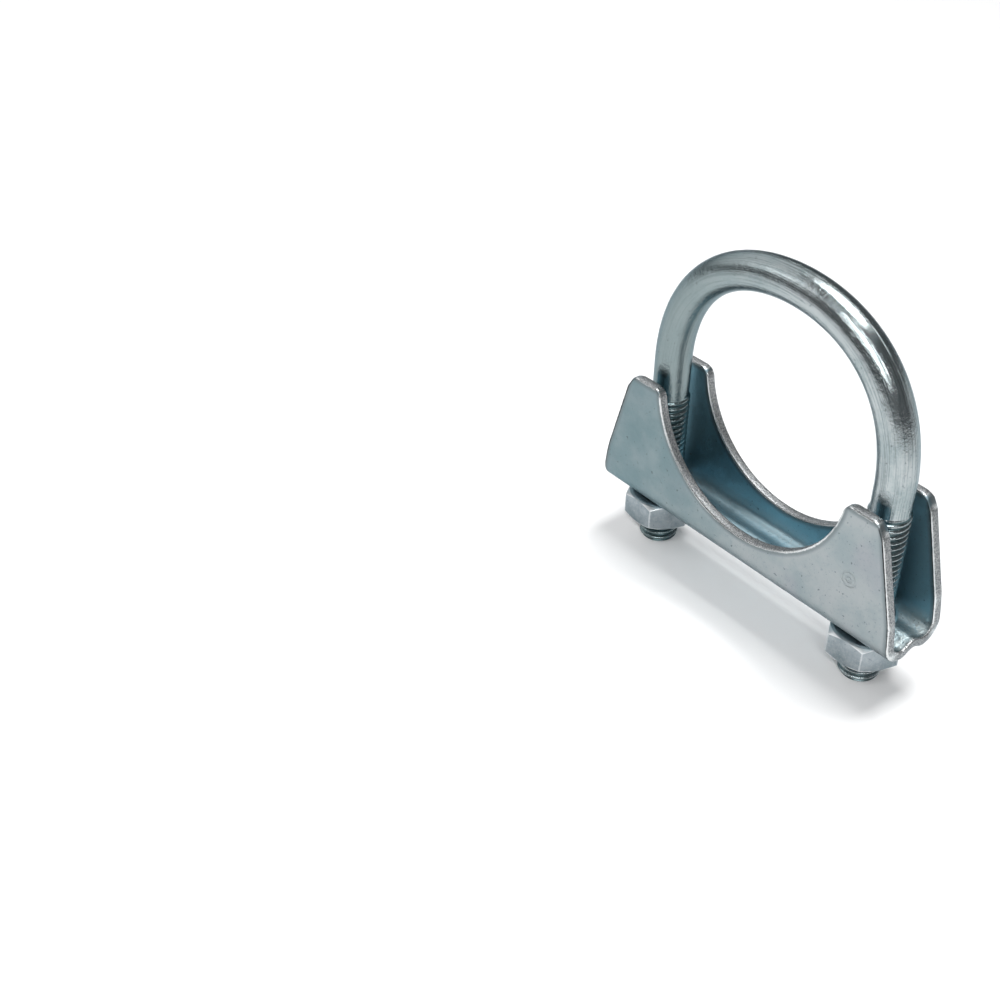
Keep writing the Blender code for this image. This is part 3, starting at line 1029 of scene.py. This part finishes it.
# Each lamp: name, place and size in metres, power in watts, roll in degrees.
LAMPS = (
    ("top_softbox", (0.02, 0.16, 0.85), (0.34, 0.34), 6.0, 0.0),
    ("front_strip", (0.30, -0.46, 0.58), (0.62, 0.07), 3.1, STRIP_ROLL),
    ("left_wall", (-0.85, 0.02, 0.66), (1.5, 1.1), 4.4, 0.0),
    ("left_softbox", (-0.53, -0.58, 0.62), (0.35, 0.45), 0.85, 0.0),
    ("back_wall", (0.55, 0.90, 0.17), (0.6, 0.12), 0.3, 0.0),
)


def make_floor():
    """A pale matt floor under the bolt ends."""
    bpy.ops.mesh.primitive_plane_add(size=3.0, location=(0, 0, 0))
    floor = bpy.context.object
    floor.name = "studio_floor"
    material = bpy.data.materials.new("pale_floor")
    material.use_nodes = True
    shader = material.node_tree.nodes["Principled BSDF"]
    shader.inputs["Base Color"].default_value = FLOOR_TINT
    shader.inputs["Roughness"].default_value = 0.6
    floor.data.materials.append(material)


def soft_lamp(name, place, size, power, roll):
    """A rectangular area lamp that faces the clamp, turned by a roll about its own axis."""
    data = bpy.data.lights.new(name, "AREA")
    data.shape = "RECTANGLE"
    data.size, data.size_y = size
    data.energy = power
    lamp = bpy.data.objects.new(name, data)
    lamp.location = place
    facing = (LAMP_TARGET - Vector(place)).to_track_quat("-Z", "Y")
    lamp.rotation_euler = (facing @ Quaternion((0, 0, 1), math.radians(roll))).to_euler()
    bpy.context.scene.collection.objects.link(lamp)


def make_world():
    """Even, slightly cool light from the room."""
    world = bpy.data.worlds.new("room")
    world.use_nodes = True
    world.node_tree.nodes["Background"].inputs["Color"].default_value = ROOM_TINT
    world.node_tree.nodes["Background"].inputs["Strength"].default_value = ROOM_BRIGHTNESS
    bpy.context.scene.world = world


def make_camera():
    """Look down at the clamp from the front right."""
    azimuth = math.radians(CAMERA_AZIMUTH)
    elevation = math.radians(CAMERA_ELEVATION)
    data = bpy.data.cameras.new("camera")
    data.lens = CAMERA_LENS
    data.sensor_width = 36.0
    data.clip_start = 0.01
    camera = bpy.data.objects.new("camera", data)
    level = math.cos(elevation)
    back = Vector((math.sin(azimuth) * level, -math.cos(azimuth) * level, math.sin(elevation)))
    camera.location = CAMERA_TARGET + back * CAMERA_DISTANCE
    level_view = (-back).to_track_quat("-Z", "Y")
    roll = Quaternion((0, 0, 1), math.radians(CAMERA_ROLL))
    camera.rotation_euler = (level_view @ roll).to_euler()
    bpy.context.scene.collection.objects.link(camera)
    bpy.context.scene.camera = camera


make_floor()
make_world()
for lamp in LAMPS:
    soft_lamp(*lamp)
make_camera()
bpy.context.scene.view_settings.view_transform = "Standard"
print("lamps:", ", ".join(lamp[0] for lamp in LAMPS))

# %% [markdown]
# ## Hand the pieces to the frame
# Each fine piece rides on the body that its solid belongs to, and hides that solid.

# %% Ride and replace
pieces = (
    (rod, "u_bolt", "zinc_rod"),
    (saddle, "saddle", "zinc_sheet"),
    (nuts["nut_left"], "nut_left", "zinc_nut"),
    (nuts["nut_right"], "nut_right", "zinc_nut"),
)
for piece, body, finish in pieces:
    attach(piece, body)
    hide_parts(body)
    print(piece.name, "rides on", body)
